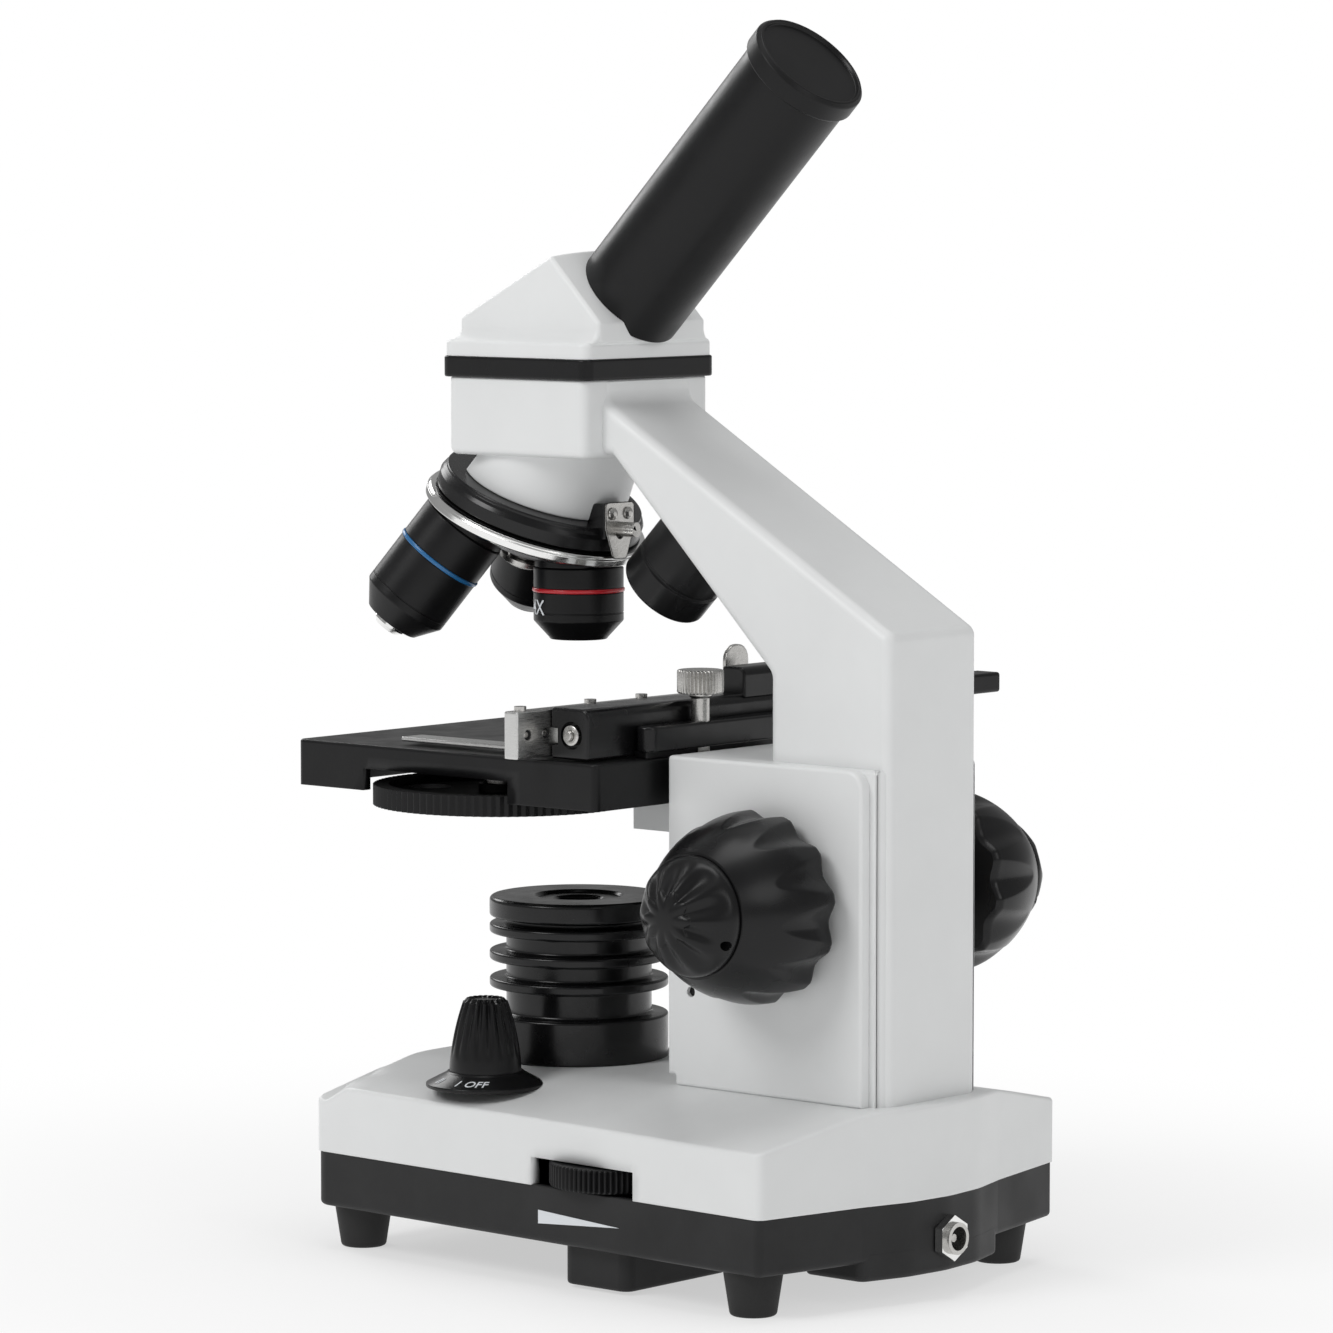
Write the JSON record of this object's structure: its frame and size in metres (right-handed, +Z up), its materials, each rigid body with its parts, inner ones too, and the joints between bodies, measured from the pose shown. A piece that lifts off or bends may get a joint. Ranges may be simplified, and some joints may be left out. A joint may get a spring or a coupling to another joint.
{
  "type": "compound student microscope",
  "caption": "Monocular compound microscope with a tilting-turret nosepiece, focusing stage with slide holder, two lamps and a 45-degree eyepiece tube.",
  "frame": {"origin": "point on the table under the optical axis, at the underside of the feet", "axes": "+Z up along the optical axis, -Y towards the stage front, +Y towards the arm, +X the side with the switch and the dimmer"},
  "size_m": [0.1825, 0.1762, 0.3064],
  "materials": {
    "white_paint": "satin white powder coat",
    "black_metal": "satin black enamel",
    "black_plastic": "moulded, semi-matte",
    "chrome": "bright plated",
    "steel": "machined",
    "brass": "machined",
    "rubber": "matte",
    "clear_glass": "polished",
    "frosted_glass": "frosted",
    "board": "solder mask",
    "mark_print": "printed",
    "ring_paint": "coloured band: red, brown and blue by objective",
    "grey_metal": "satin light grey",
    "aluminium": "fine brushed"
  },
  "bodies": {
    "stand": {"base_cover": "white_paint", "base_tray": "black_plastic", "rubber_feet": "rubber", "foot_screws": "steel", "battery_door": "black_plastic", "arm_casting": "white_paint", "side_plate_right": "white_paint", "side_plate_left": "white_paint", "shaft_bushes": "brass", "guide_rails": "steel", "nosepiece_base": "black_metal", "click_spring": "steel", "click_spring_screws": "steel", "turret_screw": "steel", "lamp_housing": "black_plastic", "lamp_lens": "clear_glass", "led_boards": "board", "illuminator_housing": "black_plastic", "illuminator_lens": "frosted_glass", "dc_jack": "steel", "dc_jack_nut": "chrome", "circuit_board": "board", "brightness_mark": "mark_print", "switch_body": "black_plastic", "dimmer_post": "black_plastic"},
    "head": {"head_housing": "white_paint", "head_band": "black_plastic", "prism": "clear_glass", "eyepiece_tube": "black_metal"},
    "dust_cap": {"dust_cap": "black_plastic"},
    "turret": {"turret_ring": "chrome", "turret_dish": "black_metal", "objective_4x": "black_metal", "objective_10x": "black_metal", "objective_40x": "black_metal", "colour_rings": "ring_paint", "objective_lenses": "clear_glass"},
    "nose": {"nose_40x": "chrome", "lens_40x": "clear_glass"},
    "carriage": {"stage_plate": "black_metal", "stage_bracket": "grey_metal", "stage_screws": "steel", "focus_rack": "brass", "diaphragm_pivot": "steel", "holder_base": "black_metal"},
    "diaphragm": {"diaphragm_disc": "black_plastic"},
    "coarse": {"coarse_knobs": "black_plastic", "coarse_shaft": "steel"},
    "fine": {"fine_knobs": "black_plastic", "fine_shaft": "steel", "set_screws": "steel"},
    "cross_slide": {"holder_rail": "black_metal"},
    "long_slide": {"slide_bar": "aluminium", "bar_screws": "steel"},
    "clip": {"clip_lever": "steel"},
    "clamp": {"clamp_screw": "chrome"},
    "cross_knob": {"cross_knob_upper": "black_plastic"},
    "long_knob": {"cross_knob_lower": "black_plastic"},
    "switch": {"switch_knob": "black_plastic"},
    "dimmer": {"dimmer_wheel": "black_plastic"}
  },
  "joints": [
    {"name": "head_turn", "type": "hinge", "parent": "stand", "child": "head", "pos_m": [0, 0, 0.2183], "axis": [0, 0, 1], "continuous": true},
    {"name": "dust_cap_pull", "type": "slide", "parent": "head", "child": "dust_cap", "axis": [0, 0.7071, 0.7071], "range_m": [0, 0.06]},
    {"name": "nosepiece_turn", "type": "hinge", "parent": "stand", "child": "turret", "pos_m": [0, -0.01423, 0.18277], "axis": [0, 0.3746, 0.9272], "continuous": true},
    {"name": "nose_40x_press", "type": "slide", "parent": "turret", "child": "nose", "axis": [-0.3244, 0.521, 0.7895], "range_m": [0, 0.0019], "stiffness_N_per_m": 400},
    {"name": "focus_travel", "type": "slide", "parent": "stand", "child": "carriage", "axis": [0, 0, 1], "range_m": [-0.013, 0.007]},
    {"name": "coarse_turn", "type": "hinge", "parent": "stand", "child": "coarse", "pos_m": [0, 0.081, 0.094], "axis": [1, 0, 0], "range_deg": [-125, 220]},
    {"name": "fine_turn", "type": "hinge", "parent": "stand", "child": "fine", "pos_m": [0, 0.081, 0.094], "axis": [1, 0, 0], "range_deg": [-1200, 2150]},
    {"name": "diaphragm_turn", "type": "hinge", "parent": "carriage", "child": "diaphragm", "pos_m": [0.0202, -0.0075, 0.1122], "axis": [0, 0, 1], "continuous": true},
    {"name": "cross_travel", "type": "slide", "parent": "carriage", "child": "cross_slide", "axis": [0, -1, 0], "range_m": [0, 0.025]},
    {"name": "long_travel", "type": "slide", "parent": "cross_slide", "child": "long_slide", "axis": [-1, 0, 0], "range_m": [-0.012, 0.03]},
    {"name": "clip_open", "type": "hinge", "parent": "long_slide", "child": "clip", "pos_m": [-0.031, 0.02695, 0.1403], "axis": [0, 0, -1], "range_deg": [0, 35], "stiffness_Nm_per_rad": 0.02},
    {"name": "clamp_turn", "type": "hinge", "parent": "carriage", "child": "clamp", "pos_m": [0.005, 0.04445, 0.1418], "axis": [0, 0, 1], "continuous": true},
    {"name": "cross_knob_turn", "type": "hinge", "parent": "cross_slide", "child": "cross_knob", "pos_m": [-0.063, 0.037, 0.112], "axis": [0, 0, 1], "range_deg": [0, 240]},
    {"name": "long_knob_turn", "type": "hinge", "parent": "cross_slide", "child": "long_knob", "pos_m": [-0.063, 0.037, 0.101], "axis": [0, 0, 1], "range_deg": [-115, 290]},
    {"name": "switch_turn", "type": "hinge", "parent": "stand", "child": "switch", "pos_m": [0.04, 0.0047, 0.0446], "axis": [0, 0, 1], "range_deg": [0, 60]},
    {"name": "dimmer_turn", "type": "hinge", "parent": "stand", "child": "dimmer", "pos_m": [0.0425, 0.0495, 0.0254], "axis": [0, 0, 1], "range_deg": [-140, 140]}
  ],
  "couplings": [
    {"joint": "coarse_turn", "follows": "focus_travel", "rad_per_m": -278.02},
    {"joint": "fine_turn", "follows": "focus_travel", "rad_per_m": -2780.2},
    {"joint": "cross_knob_turn", "follows": "cross_travel", "rad_per_m": 160},
    {"joint": "long_knob_turn", "follows": "long_travel", "rad_per_m": 160}
  ]
}
